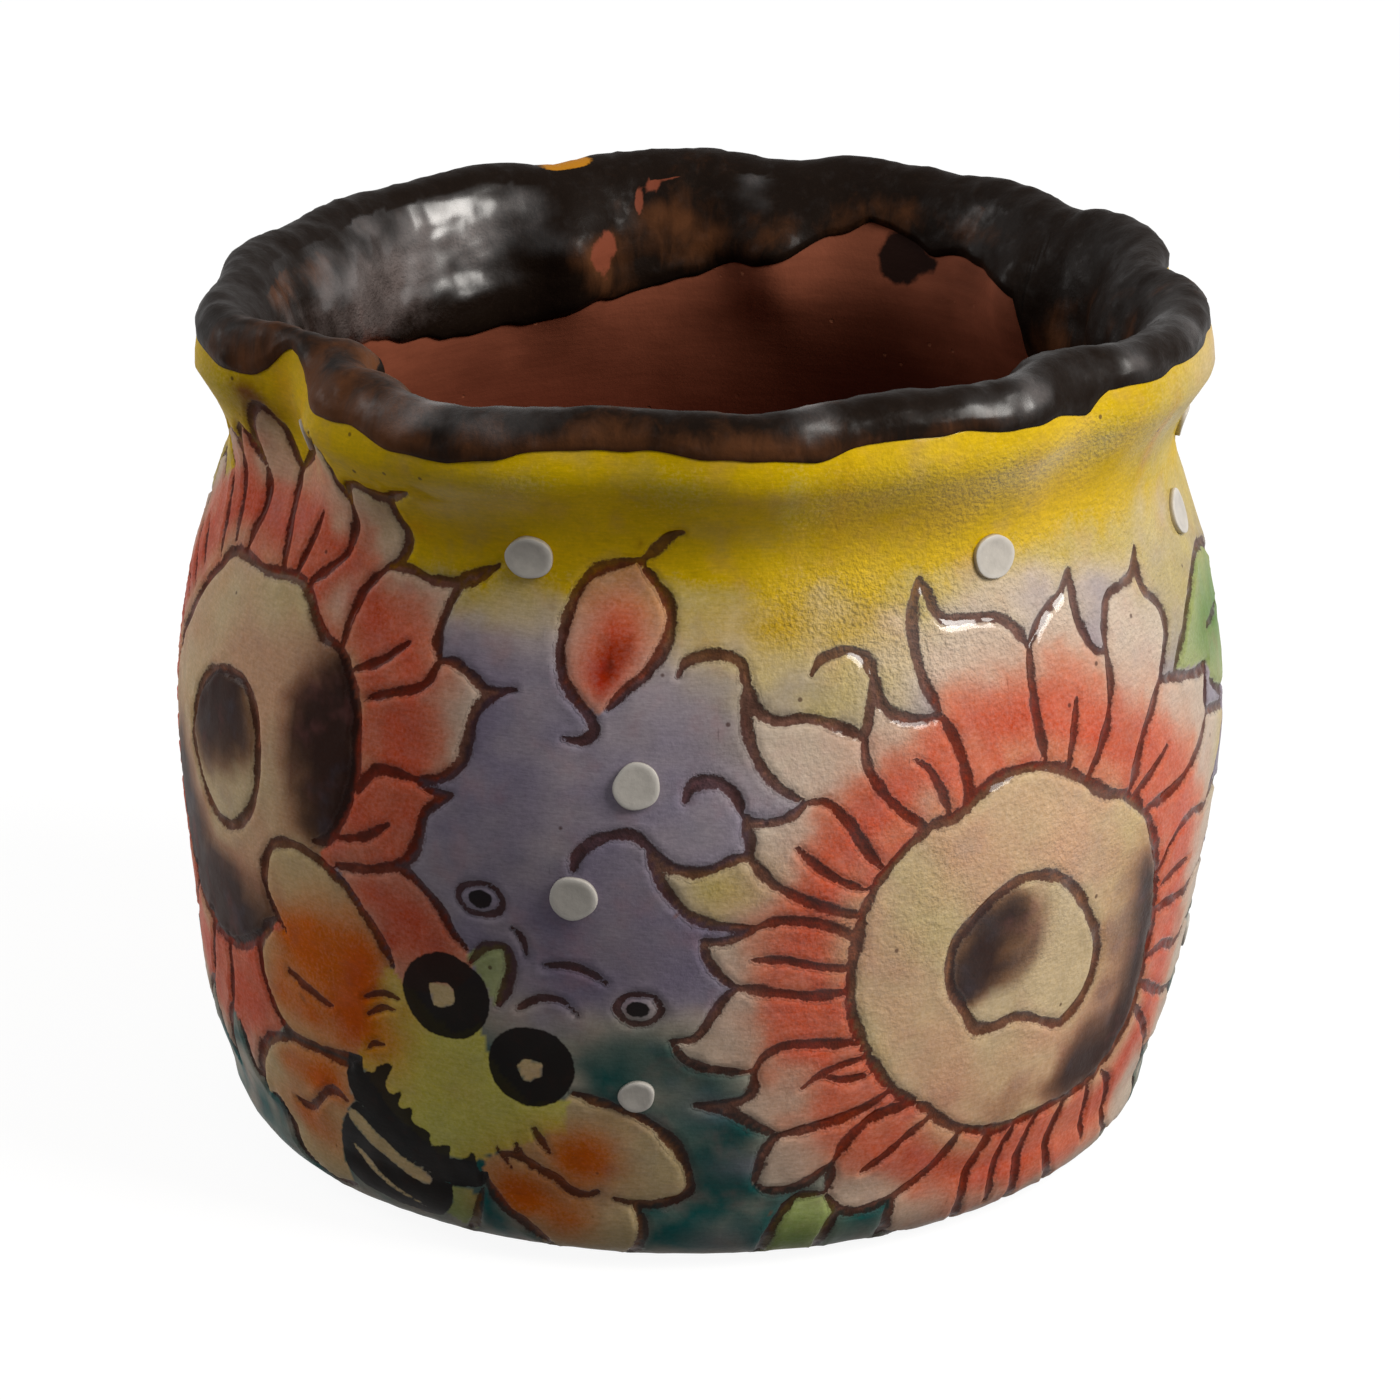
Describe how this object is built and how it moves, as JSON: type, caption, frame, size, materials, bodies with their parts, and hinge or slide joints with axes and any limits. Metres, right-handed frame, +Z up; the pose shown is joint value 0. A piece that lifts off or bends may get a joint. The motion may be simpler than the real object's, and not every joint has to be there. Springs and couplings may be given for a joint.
{
  "type": "painted pot",
  "caption": "Small round hand-built earthenware pot with a full belly, a pinched rolled lip under dark glaze, and a painted, incised wall with raised white dots.",
  "frame": {"origin": "on the floor, at the centre of the pot's flat foot", "axes": "+Z up along the pot's axis, out of its mouth; -Y towards the front of the picture's view; +X to the right in that view"},
  "size_m": [0.112, 0.1123, 0.0949],
  "materials": {
    "painted_clay": "painted and lacquered earthenware, satin",
    "dark_glaze": "thick glossy near-black glaze",
    "white_slip": "glossy white slip"
  },
  "bodies": {
    "root": {"clay_body": "painted_clay", "rim_glaze": "dark_glaze", "slip_dot_01": "white_slip", "slip_dot_02": "white_slip", "slip_dot_03": "white_slip", "slip_dot_04": "white_slip", "slip_dot_05": "white_slip", "slip_dot_06": "white_slip", "slip_dot_07": "white_slip", "slip_dot_08": "white_slip", "slip_dot_09": "white_slip", "slip_dot_10": "white_slip", "slip_dot_11": "white_slip", "slip_dot_12": "white_slip", "slip_dot_13": "white_slip", "slip_dot_14": "white_slip", "slip_dot_15": "white_slip", "slip_dot_16": "white_slip", "slip_dot_17": "white_slip"}
  },
  "joints": []
}
